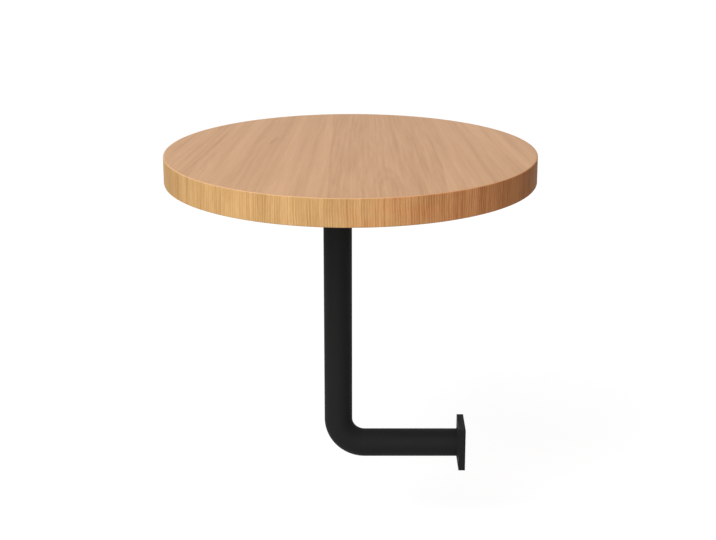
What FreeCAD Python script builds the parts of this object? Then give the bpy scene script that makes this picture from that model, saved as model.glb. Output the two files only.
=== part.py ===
"""Round wall table: a thick veneered round top on a welded L-shaped steel tube that ends in a wall plate.

Millimetres, +Z up. The origin is the centre of the wall plate's back face, on the axis of the arm.
+X points into the wall, so the arm, the column and the top stand out along -X.
"""

import FreeCAD
import Part
import math
import os

from FreeCAD import Vector

# Round top
TOP_DIAMETER = 650.0
LOWER_BOARD_THICKNESS = 28.0
UPPER_BOARD_THICKNESS = 18.0
VENEER_THICKNESS = 0.6
EDGE_BAND_THICKNESS = 3.0
EDGE_BAND_LEAST_FLAT = 0.4
EDGE_ARRIS_RADIUS = 1.5
EDGE_SEAM_GAP = 0.2
LEAF_WIDTH = 190.0
LEAF_JOINT_OFFSET = -35.0
TOP_CENTRE_TOWARDS_WALL = 23.0

# Bent tube
TUBE_OUTER_DIAMETER = 50.8
TUBE_WALL = 3.0
ELBOW_THROAT_RADIUS = 23.0
COLUMN_AXIS_TO_WALL = 232.0
ARM_AXIS_TO_TOP_UNDERSIDE = 503.0

# Plates
WALL_PLATE_SIDE = 80.0
WALL_PLATE_THICKNESS = 12.0
WALL_PLATE_CORNER_RADIUS = 3.0
WALL_BOLT_EDGE_DISTANCE = 10.0
WALL_BOLT_HOLE_DIAMETER = 9.0
TOP_PLATE_SIDE = 220.0
TOP_PLATE_THICKNESS = 6.0
TOP_PLATE_CORNER_RADIUS = 20.0
PLATE_EDGE_EASE = 0.8

# Welds
GROOVE_ROOT_FACE = 1.0
GROOVE_INCLUDED_ANGLE = 60.0
FILLET_WELD_LEG = 2.5
FILLET_WELD_CROWN = 0.25

# Screws that hold the top to its plate
SCREW_DIAMETER = 8.0
SCREW_EDGE_DISTANCE = 20.0
SCREW_HOLE_CLEARANCE = 1.0
SCREW_HEAD_DIAMETER = 14.0
SCREW_HEAD_HEIGHT = 4.4
SCREW_HEAD_FLAT_DIAMETER = 7.0
SCREW_HEAD_DOME_BULGE = 0.75
SOCKET_ACROSS_FLATS = 5.0
SOCKET_DEPTH = 2.6
THREAD_ENGAGEMENT = 13.0
WASHER_OUTER_DIAMETER = 16.0
WASHER_THICKNESS = 1.6
WASHER_BORE_CLEARANCE = 0.4
INSERT_WALL = 1.9
INSERT_LENGTH = 18.0
INSERT_HOLE_BOTTOM_GAP = 1.0
THREAD_CLEARANCE = 0.2

# Places that follow from the sizes above
ORIGIN = Vector(0, 0, 0)
X_AXIS = Vector(1, 0, 0)
Y_AXIS = Vector(0, 1, 0)
Z_AXIS = Vector(0, 0, 1)
SAME_PLACE = 1e-6
HEXAGON_SIDES = 6

TOP_RADIUS = TOP_DIAMETER / 2
BOARD_RADIUS = TOP_RADIUS - EDGE_BAND_THICKNESS
TUBE_RADIUS = TUBE_OUTER_DIAMETER / 2
BORE_RADIUS = TUBE_RADIUS - TUBE_WALL

ELBOW_CENTRE_RADIUS = TUBE_RADIUS + ELBOW_THROAT_RADIUS
COLUMN_X = -COLUMN_AXIS_TO_WALL
TOP_CENTRE_X = COLUMN_X + TOP_CENTRE_TOWARDS_WALL
WALL_PLATE_FRONT_X = -WALL_PLATE_THICKNESS
ARM_ELBOW_X = COLUMN_X + ELBOW_CENTRE_RADIUS
COLUMN_ELBOW_Z = ELBOW_CENTRE_RADIUS

TOP_UNDERSIDE_Z = ARM_AXIS_TO_TOP_UNDERSIDE
TOP_PLATE_UNDERSIDE_Z = TOP_UNDERSIDE_Z - TOP_PLATE_THICKNESS
LOWER_BOARD_Z = TOP_UNDERSIDE_Z + VENEER_THICKNESS
UPPER_BOARD_Z = LOWER_BOARD_Z + LOWER_BOARD_THICKNESS
FACE_VENEER_Z = UPPER_BOARD_Z + UPPER_BOARD_THICKNESS
TOP_SURFACE_Z = FACE_VENEER_Z + VENEER_THICKNESS

SCREW_HOLE_RADIUS = (SCREW_DIAMETER + SCREW_HOLE_CLEARANCE) / 2
SCREW_SEAT_Z = TOP_PLATE_UNDERSIDE_Z - WASHER_THICKNESS
INSERT_BORE_RADIUS = (SCREW_DIAMETER + THREAD_CLEARANCE) / 2
INSERT_RADIUS = INSERT_BORE_RADIUS + INSERT_WALL
INSERT_HOLE_RADIUS = INSERT_RADIUS + THREAD_CLEARANCE / 2
INSERT_HOLE_DEPTH = max(INSERT_LENGTH, THREAD_ENGAGEMENT) + INSERT_HOLE_BOTTOM_GAP


def disc(radius, x, z, thickness):
    """A flat round board, its lower face at z."""
    return Part.makeCylinder(radius, thickness, Vector(x, 0, z))


def ring_solid(outline, axis_point, axis, sweep=360.0):
    """The solid that a closed outline of edges sweeps as it turns about an axis."""
    face = Part.Face(Part.Wire(outline))
    return face.revolve(axis_point, axis, sweep)


def polygon_edges(points):
    """Straight edges joining the points in turn, back to the first."""
    closed = points + points[:1]
    return [Part.LineSegment(a, b).toShape() for a, b in zip(closed, closed[1:])]


def rounded_plate(side, thickness, corner_radius, eased_face):
    """A square plate in the XY plane with round corners, its lower face at z 0.

    The edge round the eased face, which is "upper" or "lower", is broken to a small radius.
    """
    half = side / 2
    plate = Part.makeBox(side, side, thickness, Vector(-half, -half, 0))
    corners = [e for e in plate.Edges if e.tangentAt(e.FirstParameter).cross(Z_AXIS).Length < SAME_PLACE]
    plate = plate.makeFillet(corner_radius, corners)
    level = thickness if eased_face == "upper" else 0.0
    rim = [e for e in plate.Edges if all(abs(v.Z - level) < SAME_PLACE for v in e.Vertexes)]
    return plate.makeFillet(PLATE_EDGE_EASE, rim)


def square_pattern(spacing):
    """The four corners of a square of holes about the origin."""
    half = spacing / 2
    return [Vector(sx * half, sy * half, 0) for sx in (-1, 1) for sy in (-1, 1)]


# Welded joints between the tubes

def groove_section(outer_radius):
    """The V of a butt weld, in the XZ plane of a tube that runs along Z with the joint at z 0."""
    depth = TUBE_WALL - GROOVE_ROOT_FACE
    root = TUBE_RADIUS - depth
    half_width = (outer_radius - root) * math.tan(math.radians(GROOVE_INCLUDED_ANGLE / 2))
    below = Vector(outer_radius, 0, -half_width)
    above = Vector(outer_radius, 0, half_width)
    return polygon_edges([Vector(root, 0, 0), below, above])


def butt_weld(outer_radius):
    """A ring of weld metal that fills the V out to a radius, about the Z axis."""
    return ring_solid(groove_section(outer_radius), ORIGIN, Z_AXIS)


def fillet_weld():
    """A ring of weld metal in the corner of a tube that stands on a plate at z 0, slightly crowned."""
    corner = Vector(TUBE_RADIUS, 0, 0)
    plate_toe = Vector(TUBE_RADIUS + FILLET_WELD_LEG, 0, 0)
    tube_toe = Vector(TUBE_RADIUS, 0, FILLET_WELD_LEG)
    outwards = Vector(1, 0, 1).normalize()
    crown = (plate_toe + tube_toe) / 2 + outwards * FILLET_WELD_CROWN
    outline = [
        Part.LineSegment(corner, plate_toe).toShape(),
        Part.Arc(plate_toe, crown, tube_toe).toShape(),
        Part.LineSegment(tube_toe, corner).toShape(),
    ]
    return ring_solid(outline, ORIGIN, Z_AXIS)


def on_column(shape, z):
    """A shape made about the Z axis, moved to a height on the column."""
    return shape.translated(Vector(COLUMN_X, 0, z))


def on_arm(shape, x):
    """A shape made about the Z axis, laid along the arm with its +Z towards the column."""
    laid = shape.rotated(ORIGIN, Y_AXIS, -90)
    return laid.translated(Vector(x, 0, 0))


def hung_from_top_plate(shape):
    """A shape made upwards from z 0, turned over to hang from the top plate's underside on the column."""
    turned = shape.rotated(ORIGIN, X_AXIS, 180)
    return on_column(turned, TOP_PLATE_UNDERSIDE_Z)


def weld_groove_cut():
    """The V ground on the tube ends, deeper out than the weld so that it clears the bend's outside."""
    return butt_weld(TUBE_RADIUS + TUBE_WALL)


def straight_tube(start, direction, length):
    """A round tube between two square-cut ends."""
    outside = Part.makeCylinder(TUBE_RADIUS, length, start, direction)
    bore = Part.makeCylinder(BORE_RADIUS, length, start, direction)
    return outside.cut(bore)


def column_tube():
    """The upright, from the elbow to the underside of the top plate."""
    length = TOP_PLATE_UNDERSIDE_Z - COLUMN_ELBOW_Z
    tube = straight_tube(Vector(COLUMN_X, 0, COLUMN_ELBOW_Z), Z_AXIS, length)
    return tube.cut(on_column(weld_groove_cut(), COLUMN_ELBOW_Z))


def arm_tube():
    """The level tube, from the wall plate to the elbow."""
    length = WALL_PLATE_FRONT_X - ARM_ELBOW_X
    tube = straight_tube(Vector(ARM_ELBOW_X, 0, 0), X_AXIS, length)
    return tube.cut(on_arm(weld_groove_cut(), ARM_ELBOW_X))


def elbow():
    """The quarter bend between column and arm, with a bevel for the weld on both ends."""
    start = Vector(COLUMN_X, 0, COLUMN_ELBOW_Z)
    bend_centre = Vector(ARM_ELBOW_X, 0, COLUMN_ELBOW_Z)
    rings = [Part.Wire(Part.makeCircle(r, start, Z_AXIS)) for r in (TUBE_RADIUS, BORE_RADIUS)]
    section = Part.Face(rings[0]).cut(Part.Face(rings[1]))
    bend = section.revolve(bend_centre, Y_AXIS, -90).Solids[0]
    bend = bend.cut(on_column(weld_groove_cut(), COLUMN_ELBOW_Z))
    return bend.cut(on_arm(weld_groove_cut(), ARM_ELBOW_X))


def wall_plate():
    """The square plate that the arm is welded to, drilled at its corners for the wall bolts."""
    plate = rounded_plate(WALL_PLATE_SIDE, WALL_PLATE_THICKNESS, WALL_PLATE_CORNER_RADIUS, "upper")
    for place in square_pattern(WALL_PLATE_SIDE - 2 * WALL_BOLT_EDGE_DISTANCE):
        plate = plate.cut(Part.makeCylinder(WALL_BOLT_HOLE_DIAMETER / 2, WALL_PLATE_THICKNESS, place))
    return on_arm(plate, 0)


# Fixing of the top

def screw_places():
    """Where the screws stand, seen from above, about the column's axis."""
    return square_pattern(TOP_PLATE_SIDE - 2 * SCREW_EDGE_DISTANCE)


def at_each_screw(shape, z):
    """Copies of a shape, one at each screw, with its z 0 at the given height."""
    return [on_column(shape.translated(place), z) for place in screw_places()]


def top_plate():
    """The square plate on the column's upper end that the wooden top is screwed to."""
    plate = rounded_plate(TOP_PLATE_SIDE, TOP_PLATE_THICKNESS, TOP_PLATE_CORNER_RADIUS, "lower")
    plate = on_column(plate, TOP_PLATE_UNDERSIDE_Z)
    hole = Part.makeCylinder(SCREW_HOLE_RADIUS, TOP_PLATE_THICKNESS)
    return plate.cut(at_each_screw(hole, TOP_PLATE_UNDERSIDE_Z))


def washer():
    """A plain washer, its lower face at z 0."""
    bore_radius = (SCREW_DIAMETER + WASHER_BORE_CLEARANCE) / 2
    blank = Part.makeCylinder(WASHER_OUTER_DIAMETER / 2, WASHER_THICKNESS)
    return blank.cut(Part.makeCylinder(bore_radius, WASHER_THICKNESS))


def hexagon_socket(bottom):
    """The six-sided hole for the key, open at the end of the head and running up into it."""
    corner_radius = SOCKET_ACROSS_FLATS / 2 / math.cos(math.pi / HEXAGON_SIDES)
    turns = [2 * math.pi * k / HEXAGON_SIDES for k in range(HEXAGON_SIDES)]
    corners = [bottom + Vector(math.cos(a), math.sin(a), 0) * corner_radius for a in turns]
    return Part.Face(Part.Wire(polygon_edges(corners))).extrude(Z_AXIS * SOCKET_DEPTH)


def socket_screw():
    """A button-head screw that stands up from the seat of its head at z 0."""
    rim = Vector(SCREW_HEAD_DIAMETER / 2, 0, 0)
    head_end = Vector(0, 0, -SCREW_HEAD_HEIGHT)
    flat_edge = head_end + X_AXIS * (SCREW_HEAD_FLAT_DIAMETER / 2)
    outwards = Y_AXIS.cross(rim - flat_edge).normalize()
    dome = (rim + flat_edge) / 2 + outwards * SCREW_HEAD_DOME_BULGE
    outline = [
        Part.LineSegment(ORIGIN, rim).toShape(),
        Part.Arc(rim, dome, flat_edge).toShape(),
        Part.LineSegment(flat_edge, head_end).toShape(),
        Part.LineSegment(head_end, ORIGIN).toShape(),
    ]
    head = ring_solid(outline, ORIGIN, Z_AXIS)
    shank_length = WASHER_THICKNESS + TOP_PLATE_THICKNESS + THREAD_ENGAGEMENT
    shank = Part.makeCylinder(SCREW_DIAMETER / 2, shank_length)
    return head.cut(hexagon_socket(head_end)).fuse(shank).removeSplitter()


def threaded_insert():
    """The sleeve that a screw turns into, set flush with the underside of the top at z 0."""
    sleeve = Part.makeCylinder(INSERT_RADIUS, INSERT_LENGTH)
    return sleeve.cut(Part.makeCylinder(INSERT_BORE_RADIUS, INSERT_LENGTH))


def insert_holes():
    """The drilled holes that take the inserts, a little deeper than they are long."""
    hole = Part.makeCylinder(INSERT_HOLE_RADIUS, INSERT_HOLE_DEPTH)
    return at_each_screw(hole, TOP_UNDERSIDE_Z)


# Wooden top

def board(z, thickness):
    """One full round layer of the top, inside the edge band, drilled where an insert reaches it."""
    return disc(BOARD_RADIUS, TOP_CENTRE_X, z, thickness).cut(insert_holes())


def edge_band():
    """The strip glued round the edge, its two outer corners eased and its ends butted at the wall side."""
    section = [
        Vector(TOP_CENTRE_X + BOARD_RADIUS, 0, TOP_UNDERSIDE_Z),
        Vector(TOP_CENTRE_X + TOP_RADIUS, 0, TOP_UNDERSIDE_Z),
        Vector(TOP_CENTRE_X + TOP_RADIUS, 0, TOP_SURFACE_Z),
        Vector(TOP_CENTRE_X + BOARD_RADIUS, 0, TOP_SURFACE_Z),
    ]
    centre = Vector(TOP_CENTRE_X, 0, 0)
    seam = math.degrees(EDGE_SEAM_GAP / TOP_RADIUS)
    strip = ring_solid(polygon_edges(section), centre, Z_AXIS, 360.0 - seam)
    round_edges = [e for e in strip.Edges if isinstance(e.Curve, Part.Circle)]
    corners = [e for e in round_edges if abs(e.Curve.Radius - TOP_RADIUS) < SAME_PLACE]
    arris = min(EDGE_ARRIS_RADIUS, EDGE_BAND_THICKNESS - EDGE_BAND_LEAST_FLAT)
    return strip.makeFillet(arris, corners).rotated(centre, Z_AXIS, seam / 2)


def face_leaves():
    """The leaves of the face veneer, laid side by side with their grain along Y, from -X to +X."""
    leaves_before_joint = math.ceil((BOARD_RADIUS + LEAF_JOINT_OFFSET) / LEAF_WIDTH)
    sheet = disc(BOARD_RADIUS, TOP_CENTRE_X, FACE_VENEER_Z, VENEER_THICKNESS)
    leaves = []
    left = LEAF_JOINT_OFFSET - leaves_before_joint * LEAF_WIDTH
    while left < BOARD_RADIUS:
        corner = Vector(TOP_CENTRE_X + left, -BOARD_RADIUS, FACE_VENEER_Z)
        strip = Part.makeBox(LEAF_WIDTH, 2 * BOARD_RADIUS, VENEER_THICKNESS, corner)
        leaves.append(sheet.common(strip))
        left += LEAF_WIDTH
    return leaves


def build():
    """Every separate piece of the table, by name."""
    pieces = {
        "wall_plate": wall_plate(),
        "arm_fillet_weld": on_arm(fillet_weld(), WALL_PLATE_FRONT_X),
        "arm_tube": arm_tube(),
        "arm_butt_weld": on_arm(butt_weld(TUBE_RADIUS), ARM_ELBOW_X),
        "elbow": elbow(),
        "column_butt_weld": on_column(butt_weld(TUBE_RADIUS), COLUMN_ELBOW_Z),
        "column_tube": column_tube(),
        "column_fillet_weld": hung_from_top_plate(fillet_weld()),
        "top_plate": top_plate(),
        "plate_washers": Part.makeCompound(at_each_screw(washer(), SCREW_SEAT_Z)),
        "plate_screws": Part.makeCompound(at_each_screw(socket_screw(), SCREW_SEAT_Z)),
        "threaded_inserts": Part.makeCompound(at_each_screw(threaded_insert(), TOP_UNDERSIDE_Z)),
        "backing_veneer": board(TOP_UNDERSIDE_Z, VENEER_THICKNESS),
        "lower_core_board": board(LOWER_BOARD_Z, LOWER_BOARD_THICKNESS),
        "upper_core_board": board(UPPER_BOARD_Z, UPPER_BOARD_THICKNESS),
        "edge_band": edge_band(),
    }
    for number, leaf in enumerate(face_leaves(), start=1):
        pieces[f"face_leaf_{number}"] = leaf
    return pieces


os.makedirs("parts", exist_ok=True)
for name, shape in build().items():
    print(name, len(shape.Solids), "solid(s), volume", round(shape.Volume), "mm3, valid", shape.isValid())
    shape.exportStep(f"parts/{name}.step")
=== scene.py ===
"""Looks of a round wall table: a thick veneered top on a black steel tube with a square wall plate.

Everything is in metres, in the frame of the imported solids: +Z is up, +X goes into the wall, and the camera
looks along +Y. Most solids keep their own mesh and only get a finish here. The weld beads and the screws are
modelled again, with the ripples and the sockets that the real ones have.
"""

import bpy
import math
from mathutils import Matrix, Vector


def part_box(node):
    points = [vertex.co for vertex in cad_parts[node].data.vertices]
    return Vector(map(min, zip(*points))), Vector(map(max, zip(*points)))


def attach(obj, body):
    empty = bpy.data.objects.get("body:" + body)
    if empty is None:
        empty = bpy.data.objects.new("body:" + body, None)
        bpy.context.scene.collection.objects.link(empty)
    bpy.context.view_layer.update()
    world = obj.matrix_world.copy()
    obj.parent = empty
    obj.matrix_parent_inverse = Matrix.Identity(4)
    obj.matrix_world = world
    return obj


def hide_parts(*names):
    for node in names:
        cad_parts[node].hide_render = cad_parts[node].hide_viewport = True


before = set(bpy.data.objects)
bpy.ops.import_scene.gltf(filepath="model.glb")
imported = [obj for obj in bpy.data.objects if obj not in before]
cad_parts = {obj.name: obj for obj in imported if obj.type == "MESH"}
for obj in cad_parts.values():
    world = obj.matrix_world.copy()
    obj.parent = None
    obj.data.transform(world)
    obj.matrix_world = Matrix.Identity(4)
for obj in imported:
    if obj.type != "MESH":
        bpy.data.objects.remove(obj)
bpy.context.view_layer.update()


# Wall plate: a square of thick flat steel bar with eased edges, drilled for four wall bolts.
# It is sprayed with black powder and baked together with the welded frame, which leaves a satin skin
# with a very fine peel and gloss that is a little cloudy.

COAT_COLOUR = (0.0080, 0.0080, 0.0078, 1)
COAT_DUSTY_COLOUR = (0.0106, 0.0106, 0.0103, 1)
COAT_SPECULAR = 0.10
COAT_SMOOTHEST = 0.62
COAT_ROUGHEST = 0.78
COAT_CLOUD_SIZE = 0.07
COAT_CLOUD_DETAIL = 3
COAT_CLOUD_EDGES = (0.35, 0.65)
COAT_SPECK_SIZE = 0.0006
COAT_SPECK_SHARE = 0.35
COAT_PEEL_SIZE = 0.0012
COAT_PEEL_HEIGHT = 0.00002
COAT_FINE_DETAIL = 2


def add(tree, kind, inputs=None, **settings):
    """A new node, each of its inputs set to a value or joined to another node's output."""
    made = tree.nodes.new(kind)
    for name, value in settings.items():
        setattr(made, name, value)
    for name, value in (inputs or {}).items():
        if isinstance(value, bpy.types.NodeSocket):
            tree.links.new(value, made.inputs[name])
        else:
            made.inputs[name].default_value = value
    return made


def eased(tree, value, low, high, to_low=0.0, to_high=1.0):
    """A value carried smoothly from one range to another, and held at its ends."""
    ends = {"Value": value, "From Min": low, "From Max": high, "To Min": to_low, "To Max": to_high}
    return add(tree, "ShaderNodeMapRange", ends, interpolation_type="SMOOTHSTEP").outputs["Result"]


def noise(tree, place, size, detail):
    """Soft blotches of about a given size, from 0 to 1, with some layers of finer detail."""
    grain = {"Vector": place, "Scale": 1 / size, "Detail": detail}
    return add(tree, "ShaderNodeTexNoise", grain).outputs["Fac"]


def blend(tree, share, first, second):
    """A colour between two others, by the Mix node's colour sockets, which come after those for numbers."""
    return add(tree, "ShaderNodeMix", {0: share, 6: first, 7: second}, data_type="RGBA").outputs[2]


def finish(name, **shader_values):
    """A material with its shader, the shader's constant values set, and the piece's own coordinates."""
    material = bpy.data.materials.new(name)
    material.use_nodes = True
    tree = material.node_tree
    tree.nodes.clear()
    shader = tree.nodes.new("ShaderNodeBsdfPrincipled")
    for label, value in shader_values.items():
        shader.inputs[label.replace("_", " ")].default_value = value
    add(tree, "ShaderNodeOutputMaterial", {"Surface": shader.outputs["BSDF"]})
    place = add(tree, "ShaderNodeTexCoord").outputs["Object"]
    return material, tree, shader.inputs, place


def bumped(tree, height, depth):
    """A surface normal for a height map that is so deep."""
    return add(tree, "ShaderNodeBump", {"Height": height, "Distance": depth}).outputs["Normal"]


def black_powder_coat():
    """Satin black with cloudy gloss, faint dusty specks and the fine peel of baked powder."""
    material, tree, shader, place = finish("black_powder_coat", Specular_IOR_Level=COAT_SPECULAR)
    clouds = noise(tree, place, COAT_CLOUD_SIZE, COAT_CLOUD_DETAIL)
    specks = noise(tree, place, COAT_SPECK_SIZE, COAT_FINE_DETAIL)
    shares = {"Factor": COAT_SPECK_SHARE, "A": clouds, "B": specks}
    mottle = add(tree, "ShaderNodeMix", shares).outputs["Result"]
    dust = eased(tree, mottle, *COAT_CLOUD_EDGES)
    tree.links.new(blend(tree, dust, COAT_COLOUR, COAT_DUSTY_COLOUR), shader["Base Color"])
    tree.links.new(eased(tree, mottle, *COAT_CLOUD_EDGES, COAT_SMOOTHEST, COAT_ROUGHEST), shader["Roughness"])
    peel = noise(tree, place, COAT_PEEL_SIZE, COAT_FINE_DETAIL)
    tree.links.new(bumped(tree, peel, COAT_PEEL_HEIGHT), shader["Normal"])
    return material


def dress(material, *node_names):
    """Gives solids of the frame their finish."""
    for name in node_names:
        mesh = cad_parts[name].data
        mesh.materials.clear()
        mesh.materials.append(material)


coat = black_powder_coat()
dress(coat, "wall_plate")


# Arm, elbow and column: round steel tube, cut square, bevelled and butt welded to a tight elbow.
# The butt welds are ground flush before the frame is coated, so their rings don't show.

dress(coat, "arm_tube", "arm_butt_weld", "elbow", "column_butt_weld", "column_tube")


# Fillet welds: beads of filler laid round the arm on the wall plate and round the column under its top plate.
# Each pool of metal freezes as a scallop over the one before, so a bead is a ring of close ripples.

BEAD_LEG = 0.0027
BEAD_SINK = 0.0002
BEAD_ROUNDNESS = 1.5
BEAD_RIPPLES = 90
BEAD_RIPPLE_DEPTH = 0.13
BEAD_RIPPLE_BOW = 0.9
BEAD_RIPPLE_AT_TOES = 0.4
BEAD_POINTS_PER_RIPPLE = 8
BEAD_POINTS_ACROSS = 33
BEAD_JOIN_DISTANCE = 0.00001


def calc(tree, operation, *values):
    """The output of a Math node that works on numbers or on other nodes' outputs."""
    return add(tree, "ShaderNodeMath", dict(enumerate(values)), operation=operation).outputs[0]


def held(tree, value):
    """A value held between 0 and 1."""
    return add(tree, "ShaderNodeClamp", {"Value": value}).outputs[0]


def blank_tree(name, inputs):
    """A geometry node tree with named inputs that puts out one mesh."""
    tree = bpy.data.node_groups.new(name, "GeometryNodeTree")
    for label, kind in inputs.items():
        tree.interface.new_socket(label, in_out="INPUT", socket_type="NodeSocket" + kind)
    tree.interface.new_socket("Mesh", in_out="OUTPUT", socket_type="NodeSocketGeometry")
    return tree, tree.nodes.new("NodeGroupInput").outputs


def put_out(tree, mesh, material):
    """Ends a geometry node tree: one real mesh, with its finish on."""
    real = add(tree, "GeometryNodeRealizeInstances", {"Geometry": mesh})
    dressed = add(tree, "GeometryNodeSetMaterial", {"Geometry": real.outputs[0], "Material": material})
    add(tree, "NodeGroupOutput", {"Mesh": dressed.outputs[0]})


def fillet_bead():
    """Geometry nodes for a bead in the corner of a tube that stands on a plate at z 0, along +Z."""
    tree, given = blank_tree(
        "fillet_bead",
        {
            "Tube radius": "Float",
            "Leg": "Float",
            "Sink": "Float",
            "Roundness": "Float",
            "Ripples": "Float",
            "Ripple depth": "Float",
            "Ripple bow": "Float",
            "Points round": "Int",
            "Points across": "Int",
            "Place": "Vector",
            "Turn": "Rotation",
            "Finish": "Material",
        },
    )
    counts = {"Vertices X": given["Points round"], "Vertices Y": given["Points across"]}
    sheet = add(tree, "GeometryNodeMeshGrid", {"Size X": 1.0, "Size Y": 1.0, **counts}).outputs["Mesh"]
    sheet_spot = add(tree, "GeometryNodeInputPosition").outputs[0]
    on_sheet = add(tree, "ShaderNodeSeparateXYZ", {"Vector": sheet_spot}).outputs
    turns = calc(tree, "ADD", on_sheet["X"], 0.5)
    loop = calc(tree, "ADD", on_sheet["Y"], 0.5)

    # Half of the section's loop is the face, from the plate's toe to the tube's, and the rest is its back.
    face = held(tree, calc(tree, "MULTIPLY", loop, 2.0))
    lean = calc(tree, "MULTIPLY", face, math.pi / 2)
    down_tube = held(tree, calc(tree, "MULTIPLY_ADD", loop, -4.0, 3.0))
    along_plate = held(tree, calc(tree, "MULTIPLY_ADD", loop, 4.0, -3.0))
    flat = calc(tree, "POWER", calc(tree, "MAXIMUM", calc(tree, "COSINE", lean), 0.0), given["Roundness"])
    flat = calc(tree, "ADD", flat, along_plate)
    upright = calc(tree, "POWER", calc(tree, "SINE", lean), given["Roundness"])
    upright = calc(tree, "MULTIPLY", upright, down_tube)

    # A ripple is a scallop with a sharp valley, bowed along the bead, and lower at the toes.
    off_middle = calc(tree, "MULTIPLY_ADD", face, 2.0, -1.0)
    bow = calc(tree, "MULTIPLY", calc(tree, "MULTIPLY", off_middle, off_middle), given["Ripple bow"])
    phase = calc(tree, "MULTIPLY_ADD", turns, given["Ripples"], bow)
    crest = calc(tree, "ABSOLUTE", calc(tree, "SINE", calc(tree, "MULTIPLY", phase, math.pi)))
    valley = calc(tree, "SUBTRACT", 1.0, calc(tree, "SQRT", crest))
    swell = calc(tree, "SINE", calc(tree, "MULTIPLY", lean, 2.0))
    swell = calc(tree, "MULTIPLY_ADD", swell, 1.0 - BEAD_RIPPLE_AT_TOES, BEAD_RIPPLE_AT_TOES)
    dip = calc(tree, "MULTIPLY", calc(tree, "MULTIPLY", valley, swell), given["Ripple depth"])
    reach = calc(tree, "MULTIPLY", given["Leg"], calc(tree, "SUBTRACT", 1.0, dip))

    tube_side = calc(tree, "SUBTRACT", given["Tube radius"], given["Sink"])
    radius = calc(tree, "MULTIPLY_ADD", flat, reach, tube_side)
    height = calc(tree, "SUBTRACT", calc(tree, "MULTIPLY", upright, reach), given["Sink"])
    angle = calc(tree, "MULTIPLY", turns, 2 * math.pi)
    x = calc(tree, "MULTIPLY", radius, calc(tree, "COSINE", angle))
    y = calc(tree, "MULTIPLY", radius, calc(tree, "SINE", angle))
    spot = add(tree, "ShaderNodeCombineXYZ", {"X": x, "Y": y, "Z": height}).outputs[0]
    bead = add(tree, "GeometryNodeSetPosition", {"Geometry": sheet, "Position": spot}).outputs[0]
    joined = {"Geometry": bead, "Distance": BEAD_JOIN_DISTANCE}
    bead = add(tree, "GeometryNodeMergeByDistance", joined).outputs[0]
    bead = add(tree, "GeometryNodeSetShadeSmooth", {0: bead}).outputs[0]
    stand = {"Geometry": bead, "Translation": given["Place"], "Rotation": given["Turn"]}
    put_out(tree, add(tree, "GeometryNodeTransform", stand).outputs[0], given["Finish"])
    return tree


def grown(name, tree, values):
    """A plain mesh object from a geometry node tree whose named inputs are set to the values."""
    piece = bpy.data.objects.new(name, bpy.data.meshes.new(name))
    bpy.context.scene.collection.objects.link(piece)
    nodes = piece.modifiers.new("nodes", "NODES")
    nodes.node_group = tree
    for socket in tree.interface.items_tree:
        if socket.in_out == "INPUT":
            nodes[socket.identifier] = values[socket.name]
    evaluated = piece.evaluated_get(bpy.context.evaluated_depsgraph_get())
    mesh = bpy.data.meshes.new_from_object(evaluated)
    piece.modifiers.remove(nodes)
    piece.data = mesh
    return piece


arm_low, arm_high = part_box("arm_tube")
column_low, column_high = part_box("column_tube")
tube_radius = (arm_high.y - arm_low.y) / 2
column_x = (column_low.x + column_high.x) / 2
bead_values = {
    "Tube radius": tube_radius,
    "Leg": BEAD_LEG,
    "Sink": BEAD_SINK,
    "Roundness": BEAD_ROUNDNESS,
    "Ripples": float(BEAD_RIPPLES),
    "Ripple depth": BEAD_RIPPLE_DEPTH,
    "Ripple bow": BEAD_RIPPLE_BOW,
    "Points round": BEAD_RIPPLES * BEAD_POINTS_PER_RIPPLE + 1,
    "Points across": BEAD_POINTS_ACROSS,
    "Finish": coat,
}
bead_tree = fillet_bead()
bead_stands = {
    "arm_fillet_weld": ((arm_high.x, 0.0, 0.0), (0.0, -math.pi / 2, 0.0)),
    "column_fillet_weld": ((column_x, 0.0, column_high.z), (math.pi, 0.0, 0.0)),
}
for weld, (place, turn) in bead_stands.items():
    bead = grown(weld.replace("weld", "bead"), bead_tree, {**bead_values, "Place": place, "Turn": turn})
    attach(bead, "root")
    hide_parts(weld)


# Top plate: a thinner square of steel with rounded corners, welded on the column's upper end.
# It is coated with the rest of the frame and lies out of sight under the top, which is screwed to it.

dress(coat, "top_plate")


# Threaded inserts: steel sleeves let into the lower board, which the screws bite in.
# They are zinc plated, like the washers and screws, and closed in by the board and the top plate.

ZINC_PALE = (0.60, 0.61, 0.63, 1)
ZINC_DULL = (0.52, 0.53, 0.55, 1)
ZINC_PATCH_SIZE = 0.0030
ZINC_PATCH_DETAIL = 3
ZINC_PATCH_EDGES = (0.3, 0.7)
ZINC_SMOOTHEST = 0.28
ZINC_ROUGHEST = 0.40


def zinc_plating():
    """Bright zinc with slightly dull patches."""
    material, tree, shader, place = finish("zinc_plating", Metallic=1.0)
    patches = eased(tree, noise(tree, place, ZINC_PATCH_SIZE, ZINC_PATCH_DETAIL), *ZINC_PATCH_EDGES)
    tree.links.new(blend(tree, patches, ZINC_PALE, ZINC_DULL), shader["Base Color"])
    tree.links.new(eased(tree, patches, 0.0, 1.0, ZINC_SMOOTHEST, ZINC_ROUGHEST), shader["Roughness"])
    return material


zinc = zinc_plating()
dress(zinc, "threaded_inserts")


# Backing veneer: a plain, straight-grained sheet under the top, which balances the pull of the face veneer.
# It is sliced wood like all the veneers of the top, with rings, streaks and pores, sealed with thin lacquer.

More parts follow.
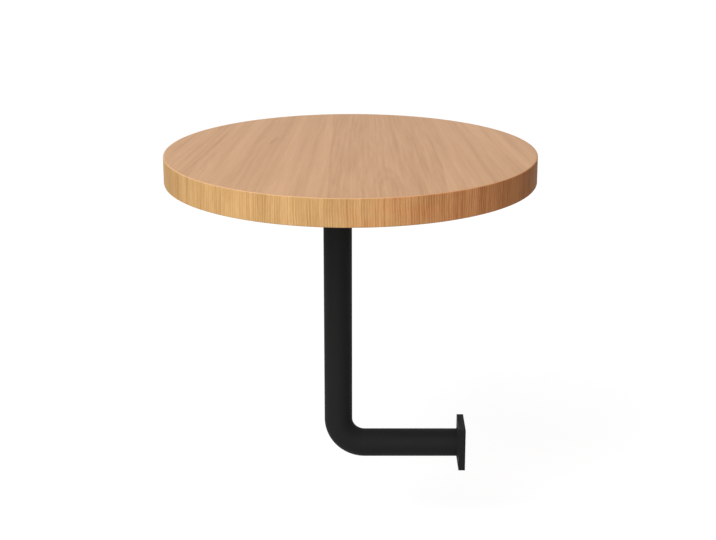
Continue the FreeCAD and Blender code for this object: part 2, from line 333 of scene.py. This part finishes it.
FIGURE_BEND_ACROSS = 0.16
FIGURE_BEND_ALONG = 0.35
FIGURE_WOBBLE_ACROSS = 0.012
FIGURE_WOBBLE_ALONG = 0.09
FIGURE_WOBBLE = 0.0015
FIGURE_CROWN_BACK = -0.08
FIGURE_CROWN_FRONT = -0.26
FIGURE_CROWN_REACH = 0.030
FIGURE_RING_DRIFT = 1.2
FIGURE_RING_DRIFT_SIZE = 0.03
FIGURE_WEAKEST_RING = 0.35
FIGURE_BAND_WIDTH = 0.026
FIGURE_BAND_LENGTH = 0.50
FIGURE_BAND_LEAN = 0.3
FIGURE_STREAK_LENGTH = 0.16
FIGURE_FIBRE_WIDTH = 0.0012
FIGURE_FIBRE_LENGTH = 0.04
FIGURE_FIBRE_CONTRAST = 0.6
FIGURE_PORE_WIDTH = 0.00045
FIGURE_PORE_LENGTH = 0.009
FIGURE_PORE_EDGES = (0.10, 0.24)
FIGURE_PORE_CONTRAST = 0.4
FIGURE_FEWEST_PORES = 0.3
FIGURE_EARLY_WOOD = 0.5
FIGURE_RING_END = 0.75
FIGURE_RING_RELIEF = 0.3
FIGURE_MIDDLE_SHADE = 0.4
FIGURE_PLAIN_DETAIL = 1
FIGURE_FINE_DETAIL = 2
BACK_PALE = (0.560, 0.360, 0.205, 1)
BACK_DARK = (0.420, 0.250, 0.130, 1)
BACK_PORE = (0.260, 0.140, 0.070, 1)
VENEER_SPECULAR = 0.26
LACQUER_ROUGHNESS = 0.46
PORE_ROUGHNESS = 0.64
PORE_DEPTH = 0.00005


def blank_group(name, inputs, outputs):
    """A shader group with named inputs and outputs, and its two ends."""
    group = bpy.data.node_groups.new(name, "ShaderNodeTree")
    for label, kind in inputs.items():
        group.interface.new_socket(label, in_out="INPUT", socket_type="NodeSocket" + kind)
    for label, kind in outputs.items():
        group.interface.new_socket(label, in_out="OUTPUT", socket_type="NodeSocket" + kind)
    given = group.nodes.new("NodeGroupInput").outputs
    result = group.nodes.new("NodeGroupOutput").inputs
    return group, given, result


def veneer_figure():
    """Sliced wood as a shader group: grain along Y that may fan out, and rings that may close in a crown."""
    group, given, result = blank_group(
        "veneer_figure",
        {
            "Place": "Vector",
            "Fan": "Float",
            "Fan middle": "Float",
            "Sway": "Float",
            "Heart": "Float",
            "Heart depth": "Float",
            "Crown": "Float",
            "Ring width": "Float",
            "Ring contrast": "Float",
            "Band contrast": "Float",
            "Streak width": "Float",
            "Streak contrast": "Float",
            "Tone": "Float",
            "Seed": "Float",
            "Pale wood": "Color",
            "Dark wood": "Color",
            "Pore": "Color",
        },
        {"Colour": "Color", "Pores": "Float", "Height": "Float"},
    )
    spot = add(group, "ShaderNodeSeparateXYZ", {"Vector": given["Place"]}).outputs
    x = spot["X"]
    y = spot["Y"]

    def streaks(across, width, length, detail):
        """Soft streaks along the grain, from -0.5 to 0.5."""
        squeezed = {
            "X": calc(group, "DIVIDE", across, width),
            "Y": calc(group, "DIVIDE", y, length),
            "Z": given["Seed"],
        }
        place = add(group, "ShaderNodeCombineXYZ", squeezed).outputs[0]
        return calc(group, "SUBTRACT", noise(group, place, 1.0, detail), 0.5)

    # The grain fans out to the front, and bends and wobbles a little.
    spread = calc(group, "SUBTRACT", 1.0, calc(group, "MULTIPLY", given["Fan"], y))
    from_middle = calc(group, "SUBTRACT", x, given["Fan middle"])
    fanned = calc(group, "ADD", calc(group, "DIVIDE", from_middle, spread), given["Fan middle"])
    bend = streaks(x, FIGURE_BEND_ACROSS, FIGURE_BEND_ALONG, FIGURE_FINE_DETAIL)
    wobble = streaks(x, FIGURE_WOBBLE_ACROSS, FIGURE_WOBBLE_ALONG, FIGURE_FINE_DETAIL)
    grain = calc(group, "MULTIPLY_ADD", bend, given["Sway"], fanned)
    grain = calc(group, "MULTIPLY_ADD", wobble, FIGURE_WOBBLE, grain)

    # How deep a point lies in the log: its way from the heart, less what the trunk's swelling takes off.
    across = calc(group, "SUBTRACT", grain, given["Heart"])
    square = calc(group, "MULTIPLY", across, across)
    way = calc(group, "SQRT", calc(group, "MULTIPLY_ADD", given["Heart depth"], given["Heart depth"], square))
    reach = FIGURE_CROWN_REACH ** 2
    near_heart = calc(group, "DIVIDE", reach, calc(group, "ADD", square, reach))
    swelling = calc(group, "MULTIPLY", near_heart, eased(group, y, FIGURE_CROWN_BACK, FIGURE_CROWN_FRONT))
    depth = calc(group, "SUBTRACT", way, calc(group, "MULTIPLY", given["Crown"], swelling))

    # A ring darkens slowly and ends at once, and some years' rings are much stronger than others.
    drift = streaks(depth, FIGURE_RING_DRIFT_SIZE, FIGURE_BAND_LENGTH, FIGURE_PLAIN_DETAIL)
    rings = calc(group, "DIVIDE", depth, given["Ring width"])
    rings = calc(group, "MULTIPLY_ADD", drift, FIGURE_RING_DRIFT, rings)
    in_ring = calc(group, "FRACT", rings)
    year = calc(group, "ADD", calc(group, "FLOOR", rings), given["Seed"])
    vigour = add(group, "ShaderNodeTexWhiteNoise", {"W": year}, noise_dimensions="1D").outputs["Value"]
    vigour = eased(group, vigour, 0.0, 1.0, FIGURE_WEAKEST_RING, 1.0)
    darkening = eased(group, in_ring, 0.0, FIGURE_RING_END)
    late = calc(group, "MULTIPLY", darkening, eased(group, in_ring, 1.0, FIGURE_RING_END))
    late = calc(group, "MULTIPLY", late, vigour)

    # Broad bands follow the rings, unlike on the heart's two sides. Streaks and pores follow the grain.
    lopsided = calc(group, "MULTIPLY_ADD", across, FIGURE_BAND_LEAN, depth)
    bands = streaks(lopsided, FIGURE_BAND_WIDTH, FIGURE_BAND_LENGTH, FIGURE_PLAIN_DETAIL)
    lines = streaks(grain, given["Streak width"], FIGURE_STREAK_LENGTH, FIGURE_FINE_DETAIL)
    fibres = streaks(grain, FIGURE_FIBRE_WIDTH, FIGURE_FIBRE_LENGTH, FIGURE_FINE_DETAIL)
    shade = calc(group, "ADD", given["Tone"], FIGURE_MIDDLE_SHADE)
    shade = calc(group, "MULTIPLY_ADD", late, given["Ring contrast"], shade)
    shade = calc(group, "MULTIPLY_ADD", bands, given["Band contrast"], shade)
    shade = calc(group, "MULTIPLY_ADD", lines, given["Streak contrast"], shade)
    shade = calc(group, "MULTIPLY_ADD", fibres, FIGURE_FIBRE_CONTRAST, shade)
    shade = held(group, shade)

    pores = streaks(grain, FIGURE_PORE_WIDTH, FIGURE_PORE_LENGTH, FIGURE_PLAIN_DETAIL)
    pores = eased(group, pores, *FIGURE_PORE_EDGES)
    early = eased(group, in_ring, FIGURE_EARLY_WOOD, 0.0, FIGURE_FEWEST_PORES, 1.0)
    pores = calc(group, "MULTIPLY", pores, early)
    wood = blend(group, shade, given["Pale wood"], given["Dark wood"])
    wood = blend(group, calc(group, "MULTIPLY", pores, FIGURE_PORE_CONTRAST), wood, given["Pore"])
    height = calc(group, "MULTIPLY_ADD", late, FIGURE_RING_RELIEF, calc(group, "SUBTRACT", 1.0, pores))
    group.links.new(wood, result["Colour"])
    group.links.new(pores, result["Pores"])
    group.links.new(height, result["Height"])
    return group


def lacquer(tree, shader, sliced, colour):
    """Finishes a veneer: thin satin lacquer that sinks into the pores."""
    tree.links.new(colour, shader["Base Color"])
    rough = eased(tree, sliced["Pores"], 0.0, 1.0, LACQUER_ROUGHNESS, PORE_ROUGHNESS)
    tree.links.new(rough, shader["Roughness"])
    tree.links.new(bumped(tree, sliced["Height"], PORE_DEPTH), shader["Normal"])


figure = veneer_figure()

# Straight grain is cut far from the heart of the log.
STRAIGHT_GRAIN = {"Heart": -2.0, "Heart depth": 0.0, "Crown": 0.0}
BACK_FIGURE = {
    **STRAIGHT_GRAIN,
    "Fan": 0.0,
    "Sway": 0.03,
    "Ring width": 0.010,
    "Ring contrast": 0.3,
    "Band contrast": 1.0,
    "Streak width": 0.0034,
    "Streak contrast": 0.8,
    "Tone": 0.1,
    "Seed": 7.7,
    "Pale wood": BACK_PALE,
    "Dark wood": BACK_DARK,
    "Pore": BACK_PORE,
}

backing, tree, shader, place = finish("backing_veneer", Specular_IOR_Level=VENEER_SPECULAR)
sliced = add(tree, "ShaderNodeGroup", {"Place": place, **BACK_FIGURE}, node_tree=figure).outputs
lacquer(tree, shader, sliced, sliced["Colour"])
dress(backing, "backing_veneer")


# Core boards: two round boards of pressed wood chips, glued face to face to make up the top's thickness.
# The lower one is drilled for the inserts. Veneer and edge band cover both all round.

CHIP_SIZE = 0.0035
CHIP_PALE = (0.52, 0.38, 0.24, 1)
CHIP_DARK = (0.30, 0.20, 0.11, 1)
CHIP_RELIEF = 0.0001
CHIP_ROUGHNESS = 0.85


def pressed_chips():
    """Flat chips of different browns, pressed together with resin."""
    material, tree, shader, place = finish("core_board", Roughness=CHIP_ROUGHNESS)
    chips = add(tree, "ShaderNodeTexVoronoi", {"Vector": place, "Scale": 1 / CHIP_SIZE}).outputs["Color"]
    tone = add(tree, "ShaderNodeSeparateColor", {"Color": chips}).outputs[0]
    tree.links.new(blend(tree, tone, CHIP_PALE, CHIP_DARK), shader["Base Color"])
    tree.links.new(bumped(tree, tone, CHIP_RELIEF), shader["Normal"])
    return material


dress(pressed_chips(), "lower_core_board", "upper_core_board")


# Edge band: a strip of veneer with upright grain, bent round the top and butted on the side of the wall.
# Its wood turns from yellow to red and back along the strip. Both arrises are sanded round, and a paler
# painted highlight is laid along them.

BAND_REDDEST = math.radians(170)
BAND_RED_EDGES = (-0.10, 0.82)
BAND_PATCH_SIZE = 0.05
BAND_PATCH_DETAIL = 2
BAND_PATCH_SHARE = 0.6
BAND_ARRIS_HIGHLIGHT_REACH = 0.0008
BAND_ARRIS_HIGHLIGHT_SHARE = 0.8
BAND_GRAIN_SQUEEZE = 3.0
BAND_YELLOW_PALE = (0.612, 0.386, 0.174, 1)
BAND_YELLOW_DARK = (0.396, 0.220, 0.084, 1)
BAND_RED_PALE = (0.715, 0.335, 0.147, 1)
BAND_RED_DARK = (0.374, 0.142, 0.049, 1)
# Painted highlight: paler colours for both arrises, where the rounded edges would catch the lamps.
BAND_YELLOW_HIGHLIGHT = (0.780, 0.490, 0.285, 1)
BAND_RED_HIGHLIGHT = (0.660, 0.360, 0.190, 1)
BAND_PORE = (0.280, 0.120, 0.045, 1)
BAND_SPECULAR = 0.012
BAND_FIGURE = {
    **STRAIGHT_GRAIN,
    "Fan": 0.0,
    "Sway": 0.01,
    "Ring width": 0.0044,
    "Ring contrast": 0.50,
    "Band contrast": 1.0,
    "Streak width": 0.0022,
    "Streak contrast": 0.8,
    "Tone": 0.0,
    "Seed": 6.5,
    "Pore": BAND_PORE,
}

band_low, band_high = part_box("edge_band")
top_radius = (band_high.y - band_low.y) / 2
band_half_height = (band_high.z - band_low.z) / 2
top_x = (band_low.x + band_high.x) / 2


def upright_veneer():
    """Veneer whose grain stands upright all round the top, with a painted highlight along both arrises."""
    material, tree, shader, place = finish("edge_veneer", Specular_IOR_Level=BAND_SPECULAR)
    spot = add(tree, "ShaderNodeSeparateXYZ", {"Vector": place}).outputs
    from_wall = calc(tree, "SUBTRACT", top_x, spot["X"])
    bearing = calc(tree, "ARCTAN2", calc(tree, "MULTIPLY", spot["Y"], -1.0), from_wall)
    along_strip = calc(tree, "MULTIPLY", bearing, top_radius)
    up_grain = calc(tree, "MULTIPLY", spot["Z"], BAND_GRAIN_SQUEEZE)
    on_strip = add(tree, "ShaderNodeCombineXYZ", {"X": along_strip, "Y": up_grain}).outputs[0]

    patches = calc(tree, "SUBTRACT", noise(tree, on_strip, BAND_PATCH_SIZE, BAND_PATCH_DETAIL), 0.5)
    to_red = calc(tree, "COSINE", calc(tree, "SUBTRACT", bearing, BAND_REDDEST))
    redness = calc(tree, "MULTIPLY_ADD", patches, BAND_PATCH_SHARE, to_red)
    redness = eased(tree, redness, *BAND_RED_EDGES)
    woods = {
        "Pale wood": blend(tree, redness, BAND_YELLOW_PALE, BAND_RED_PALE),
        "Dark wood": blend(tree, redness, BAND_YELLOW_DARK, BAND_RED_DARK),
    }
    values = {"Place": on_strip, **BAND_FIGURE, **woods}
    sliced = add(tree, "ShaderNodeGroup", values, node_tree=figure).outputs
    # A painted highlight: the band's colour turns paler towards both arrises, as if they caught the lamps.
    off_middle = calc(tree, "SUBTRACT", spot["Z"], band_low.z + band_half_height)
    to_arris = calc(tree, "SUBTRACT", band_half_height, calc(tree, "ABSOLUTE", off_middle))
    arris_highlight = eased(tree, to_arris, BAND_ARRIS_HIGHLIGHT_REACH, 0.0, 0.0, BAND_ARRIS_HIGHLIGHT_SHARE)
    highlight_colour = blend(tree, redness, BAND_YELLOW_HIGHLIGHT, BAND_RED_HIGHLIGHT)
    lacquer(tree, shader, sliced, blend(tree, arris_highlight, sliced["Colour"], highlight_colour))
    return material


dress(upright_veneer(), "edge_band")


# Face leaves: four sheets of plain-sliced veneer laid side by side, with the grain across the arm.
# The third has the heart of the log, so its rings close in arches, and the grain fans out to both sides.

LEAF_PALE = (0.650, 0.375, 0.190, 1)
LEAF_DARK = (0.476, 0.247, 0.109, 1)
LEAF_PORE = (0.290, 0.140, 0.060, 1)
LEAF_FAN = {
    "Fan": 0.5,
    "Fan middle": top_x + 0.02,
    "Sway": 0.006,
    "Streak width": 0.005,
    "Pale wood": LEAF_PALE,
    "Dark wood": LEAF_DARK,
    "Pore": LEAF_PORE,
}
LEAF_CROWN = {"Heart": top_x + 0.057, "Heart depth": 0.0125, "Crown": 0.024}
LEAF_FIGURES = {
    "face_leaf_1": {
        **STRAIGHT_GRAIN,
        "Ring width": 0.012,
        "Band contrast": 0.7,
        "Streak contrast": 1.1,
        "Tone": -0.05,
        "Seed": 7.3,
    },
    "face_leaf_2": {
        **STRAIGHT_GRAIN,
        "Ring width": 0.014,
        "Band contrast": 1.1,
        "Streak contrast": 0.5,
        "Tone": -0.05,
        "Seed": 2.7,
    },
    "face_leaf_3": {
        **LEAF_CROWN,
        "Ring width": 0.0105,
        "Band contrast": 0.8,
        "Streak contrast": 1.2,
        "Tone": 0.13,
        "Seed": 4.1,
    },
    "face_leaf_4": {
        **STRAIGHT_GRAIN,
        "Ring width": 0.010,
        "Band contrast": 1.2,
        "Streak contrast": 0.5,
        "Tone": -0.05,
        "Seed": 11.9,
    },
}
LEAF_RING_CONTRAST = 0.2
STREAK_X = top_x - 0.138
STREAK_Y = 0.085
STREAK_SLANT = 0.25
STREAK_HALF_WIDTH = 0.0055
STREAK_HALF_LENGTH = 0.036
STREAK_CONTRAST = 0.32


def mineral_streak(tree, place):
    """A short dark streak in the second leaf, where the tree took up minerals."""
    spot = add(tree, "ShaderNodeSeparateXYZ", {"Vector": place}).outputs
    along = calc(tree, "SUBTRACT", spot["Y"], STREAK_Y)
    across = calc(tree, "SUBTRACT", spot["X"], STREAK_X)
    across = calc(tree, "SUBTRACT", across, calc(tree, "MULTIPLY", along, STREAK_SLANT))
    across = calc(tree, "DIVIDE", across, STREAK_HALF_WIDTH)
    along = calc(tree, "DIVIDE", along, STREAK_HALF_LENGTH)
    square = calc(tree, "MULTIPLY_ADD", across, across, calc(tree, "MULTIPLY", along, along))
    return eased(tree, square, 1.0, 0.0, 0.0, STREAK_CONTRAST)


for leaf, leaf_figure in LEAF_FIGURES.items():
    face, tree, shader, place = finish(leaf, Specular_IOR_Level=VENEER_SPECULAR)
    values = {"Place": place, "Ring contrast": LEAF_RING_CONTRAST, **LEAF_FAN, **leaf_figure}
    sliced = add(tree, "ShaderNodeGroup", values, node_tree=figure).outputs
    colour = sliced["Colour"]
    if leaf == "face_leaf_2":
        colour = blend(tree, mineral_streak(tree, place), colour, LEAF_PORE)
    lacquer(tree, shader, sliced, colour)
    dress(face, leaf)


# Washers and screws: four zinc-plated button-head screws with hexagon sockets, each on a flat washer.
# They go up through the top plate into the threaded inserts and hold the top on its frame.

SCREW_SIDES = 48
SCREW_SHANK_RADIUS = 0.0040
SCREW_TIP_CHAMFER = 0.0006
SCREW_HEAD_RADIUS = 0.0070
SCREW_HEAD_FLAT_RADIUS = 0.0036
SCREW_HEAD_RIM = 0.0005
SCREW_DOME_STEPS = 8
SOCKET_APOTHEM = 0.0025
SOCKET_DEPTH = 0.0026
SOCKET_CHAMFER = 0.0002
SOCKET_CONE = 0.0007
SCREW_SHARP_ANGLE = math.radians(35)
SCREW_TURN_SEED = 4

screws_low, screws_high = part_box("plate_screws")
washers_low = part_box("plate_washers")[0]


def round_ring(radius):
    """The radius of a round section at each of its points."""
    return [radius] * SCREW_SIDES


def hexagon_ring(apothem):
    """The radius of a hexagonal section at each of its points."""
    sixth = math.pi / 3
    angles = [2 * math.pi * side / SCREW_SIDES for side in range(SCREW_SIDES)]
    return [apothem / math.cos((angle + sixth / 2) % sixth - sixth / 2) for angle in angles]


def socket_screw():
    """One screw hanging head down from z 0, where its head bears on the washer."""
    shank = screws_high.z - washers_low.z
    head = washers_low.z - screws_low.z
    rings = [
        (shank, round_ring(SCREW_SHANK_RADIUS - SCREW_TIP_CHAMFER)),
        (shank - SCREW_TIP_CHAMFER, round_ring(SCREW_SHANK_RADIUS)),
        (0.0, round_ring(SCREW_SHANK_RADIUS)),
        (0.0, round_ring(SCREW_HEAD_RADIUS - SCREW_HEAD_RIM / 2)),
        (-SCREW_HEAD_RIM / 2, round_ring(SCREW_HEAD_RADIUS)),
    ]
    for step in range(SCREW_DOME_STEPS + 1):
        lean = math.pi / 2 * step / SCREW_DOME_STEPS
        radius = SCREW_HEAD_FLAT_RADIUS + (SCREW_HEAD_RADIUS - SCREW_HEAD_FLAT_RADIUS) * math.cos(lean)
        drop = SCREW_HEAD_RIM + (head - SCREW_HEAD_RIM) * math.sin(lean)
        rings.append((-drop, round_ring(radius)))
    rings.append((-head, hexagon_ring(SOCKET_APOTHEM + SOCKET_CHAMFER)))
    rings.append((SOCKET_CHAMFER - head, hexagon_ring(SOCKET_APOTHEM)))
    rings.append((SOCKET_DEPTH - head, hexagon_ring(SOCKET_APOTHEM)))
    corners = []
    for z, radii in rings:
        for side, radius in enumerate(radii):
            angle = 2 * math.pi * side / SCREW_SIDES
            corners.append((radius * math.cos(angle), radius * math.sin(angle), z))
    faces = []
    for ring in range(len(rings) - 1):
        for side in range(SCREW_SIDES):
            here = ring * SCREW_SIDES + side
            beside = ring * SCREW_SIDES + (side + 1) % SCREW_SIDES
            faces.append((here, here + SCREW_SIDES, beside + SCREW_SIDES, beside))
    tip = len(corners)
    corners.append((0, 0, shank))
    corners.append((0, 0, SOCKET_DEPTH + SOCKET_CONE - head))
    last_ring = (len(rings) - 1) * SCREW_SIDES
    for side in range(SCREW_SIDES):
        beside = (side + 1) % SCREW_SIDES
        faces.append((tip, side, beside))
        faces.append((tip + 1, last_ring + beside, last_ring + side))
    mesh = bpy.data.meshes.new("socket_screw")
    mesh.from_pydata(corners, [], faces)
    mesh.shade_smooth()
    mesh.set_sharp_from_angle(angle=SCREW_SHARP_ANGLE)
    return bpy.data.objects.new("socket_screw", mesh)


def screw_square():
    """Geometry nodes that hang a screw from each corner of a square, each turned its own way."""
    tree, given = blank_tree(
        "screw_square",
        {
            "Screw": "Object",
            "Spacing": "Float",
            "Middle": "Vector",
            "Turn seed": "Int",
            "Finish": "Material",
        },
    )
    sides = {"Size X": given["Spacing"], "Size Y": given["Spacing"], "Vertices X": 2, "Vertices Y": 2}
    square = add(tree, "GeometryNodeMeshGrid", sides).outputs["Mesh"]
    under_plate = {"Geometry": square, "Translation": given["Middle"]}
    square = add(tree, "GeometryNodeTransform", under_plate).outputs[0]
    turn = add(tree, "FunctionNodeRandomValue", {3: 2 * math.pi, "Seed": given["Turn seed"]}).outputs[1]
    upright = add(tree, "ShaderNodeCombineXYZ", {"Z": turn}).outputs[0]
    screw = add(tree, "GeometryNodeObjectInfo", {"Object": given["Screw"]}).outputs["Geometry"]
    hung = {"Points": square, "Instance": screw, "Rotation": upright}
    put_out(tree, add(tree, "GeometryNodeInstanceOnPoints", hung).outputs[0], given["Finish"])
    return tree


one_screw = socket_screw()
screw_values = {
    "Screw": one_screw,
    "Spacing": screws_high.y - screws_low.y - 2 * SCREW_HEAD_RADIUS,
    "Middle": ((screws_low.x + screws_high.x) / 2, 0.0, washers_low.z),
    "Turn seed": SCREW_TURN_SEED,
    "Finish": zinc,
}
screws = grown("socket_screws", screw_square(), screw_values)
bpy.data.objects.remove(one_screw)
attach(screws, "root")
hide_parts("plate_screws")
dress(zinc, "plate_washers")


# Floor: a plain pale ground under the table, which keeps its soft shadow and throws a little light back up.
# The camera, gloss and glass see it as nearly white paper, and it is clear from below.

FLOOR_Z = -0.195
FLOOR_REACH = 16.0
FLOOR_BOUNCE = (0.42, 0.42, 0.42, 1)
FLOOR_SHADE = (0.25, 0.25, 0.25, 1)
FLOOR_GLOW = 0.86


def seen_as_background(tree):
    """1 for the rays that show the background: to the camera, in gloss and through glass."""
    rays = add(tree, "ShaderNodeLightPath").outputs
    direct = calc(tree, "MAXIMUM", rays["Is Camera Ray"], rays["Is Glossy Ray"])
    return calc(tree, "MAXIMUM", direct, rays["Is Transmission Ray"])


def pale_floor():
    """White paper to the eye, and pale grey to the light that falls on it."""
    material = bpy.data.materials.new("pale_floor")
    material.use_nodes = True
    tree = material.node_tree
    tree.nodes.clear()
    bounce = add(tree, "ShaderNodeBsdfDiffuse", {"Color": FLOOR_BOUNCE})
    paper = add(tree, "ShaderNodeBsdfDiffuse", {"Color": FLOOR_SHADE})
    glow = add(tree, "ShaderNodeEmission", {"Strength": FLOOR_GLOW})
    white = add(tree, "ShaderNodeAddShader", {0: paper.outputs[0], 1: glow.outputs[0]})
    seen = seen_as_background(tree)
    above = add(tree, "ShaderNodeMixShader", {0: seen, 1: bounce.outputs[0], 2: white.outputs[0]})
    below = add(tree, "ShaderNodeNewGeometry").outputs["Backfacing"]
    clear = add(tree, "ShaderNodeBsdfTransparent")
    both = add(tree, "ShaderNodeMixShader", {0: below, 1: above.outputs[0], 2: clear.outputs[0]})
    add(tree, "ShaderNodeOutputMaterial", {"Surface": both.outputs[0]})
    return material


floor_mesh = bpy.data.meshes.new("floor")
floor_sides = [(-1, -1), (1, -1), (1, 1), (-1, 1)]
floor_corners = [(x * FLOOR_REACH, y * FLOOR_REACH, FLOOR_Z) for x, y in floor_sides]
floor_mesh.from_pydata(floor_corners, [], [(0, 1, 2, 3)])
floor_mesh.materials.append(pale_floor())
floor = bpy.data.objects.new("floor", floor_mesh)
bpy.context.scene.collection.objects.link(floor)


# Light: even, slightly warm surroundings, a white backdrop, and a broad lamp and soft box at the left front.
# A weaker lamp stands low at the front and reaches the column under the top.

AMBIENT = (1.0, 0.93, 0.88, 1)
AMBIENT_STRENGTH = 0.27
BACKDROP = (1, 1, 1, 1)
BACKDROP_STRENGTH = 1.0
KEY_BEARING = math.radians(235)
KEY_HEIGHT = math.radians(40)
KEY_LEVEL = 0.52
KEY_SOFTNESS = math.radians(50)
SOFT_BOX_AIM = Vector((-0.21, 0.0, 0.5))
SOFT_BOX_DISTANCE = 3.2
SOFT_BOX_SIDE = 1.6
SOFT_BOX_LEVEL = 0.45
FILL_BEARING = math.radians(254)
FILL_HEIGHT = math.radians(6)
FILL_LEVEL = 0.36
FILL_SOFTNESS = math.radians(20)

world = bpy.data.worlds.new("studio")
world.use_nodes = True
tree = world.node_tree
tree.nodes.clear()
ambient = add(tree, "ShaderNodeBackground", {"Color": AMBIENT, "Strength": AMBIENT_STRENGTH})
backdrop = add(tree, "ShaderNodeBackground", {"Color": BACKDROP, "Strength": BACKDROP_STRENGTH})
seen = seen_as_background(tree)
sky = add(tree, "ShaderNodeMixShader", {0: seen, 1: ambient.outputs[0], 2: backdrop.outputs[0]})
add(tree, "ShaderNodeOutputWorld", {"Surface": sky.outputs[0]})
bpy.context.scene.world = world


def towards(bearing, height):
    """A unit vector to a bearing round the table and a height above the horizon."""
    level = math.cos(height)
    return Vector((math.cos(bearing) * level, math.sin(bearing) * level, math.sin(height)))


def put_lamp(name, kind, energy, source):
    """A lamp whose light comes from a direction."""
    light = bpy.data.lights.new(name, kind)
    light.energy = energy
    lamp = bpy.data.objects.new(name, light)
    lamp.rotation_euler = source.to_track_quat("Z", "Y").to_euler()
    bpy.context.scene.collection.objects.link(lamp)
    return lamp


key_source = towards(KEY_BEARING, KEY_HEIGHT)
key = put_lamp("key", "SUN", KEY_LEVEL * math.pi, key_source)
key.data.angle = KEY_SOFTNESS
soft_box = put_lamp("soft_box", "AREA", SOFT_BOX_LEVEL * (math.pi * SOFT_BOX_DISTANCE) ** 2, key_source)
soft_box.data.size = SOFT_BOX_SIDE
soft_box.location = SOFT_BOX_AIM + key_source * SOFT_BOX_DISTANCE
fill = put_lamp("fill", "SUN", FILL_LEVEL * math.pi, towards(FILL_BEARING, FILL_HEIGHT))
fill.data.angle = FILL_SOFTNESS


# Camera: a long lens in front of the table and above it.
# Its place, tilt and focal length come from the ellipse of the top and the frame's lines in the photo.

CAMERA_LENS = 77.48
CAMERA_SENSOR = 36.0
CAMERA_PLACE = (-0.1960, -2.6268, 1.1535)
CAMERA_TILT_DOWN = 0.3026

camera_data = bpy.data.cameras.new("camera")
camera_data.sensor_width = CAMERA_SENSOR
camera_data.lens = CAMERA_LENS
camera = bpy.data.objects.new("camera", camera_data)
camera.location = CAMERA_PLACE
camera.rotation_euler = (math.pi / 2 - CAMERA_TILT_DOWN, 0, 0)
bpy.context.scene.collection.objects.link(camera)
bpy.context.scene.camera = camera
bpy.context.scene.view_settings.view_transform = "Standard"
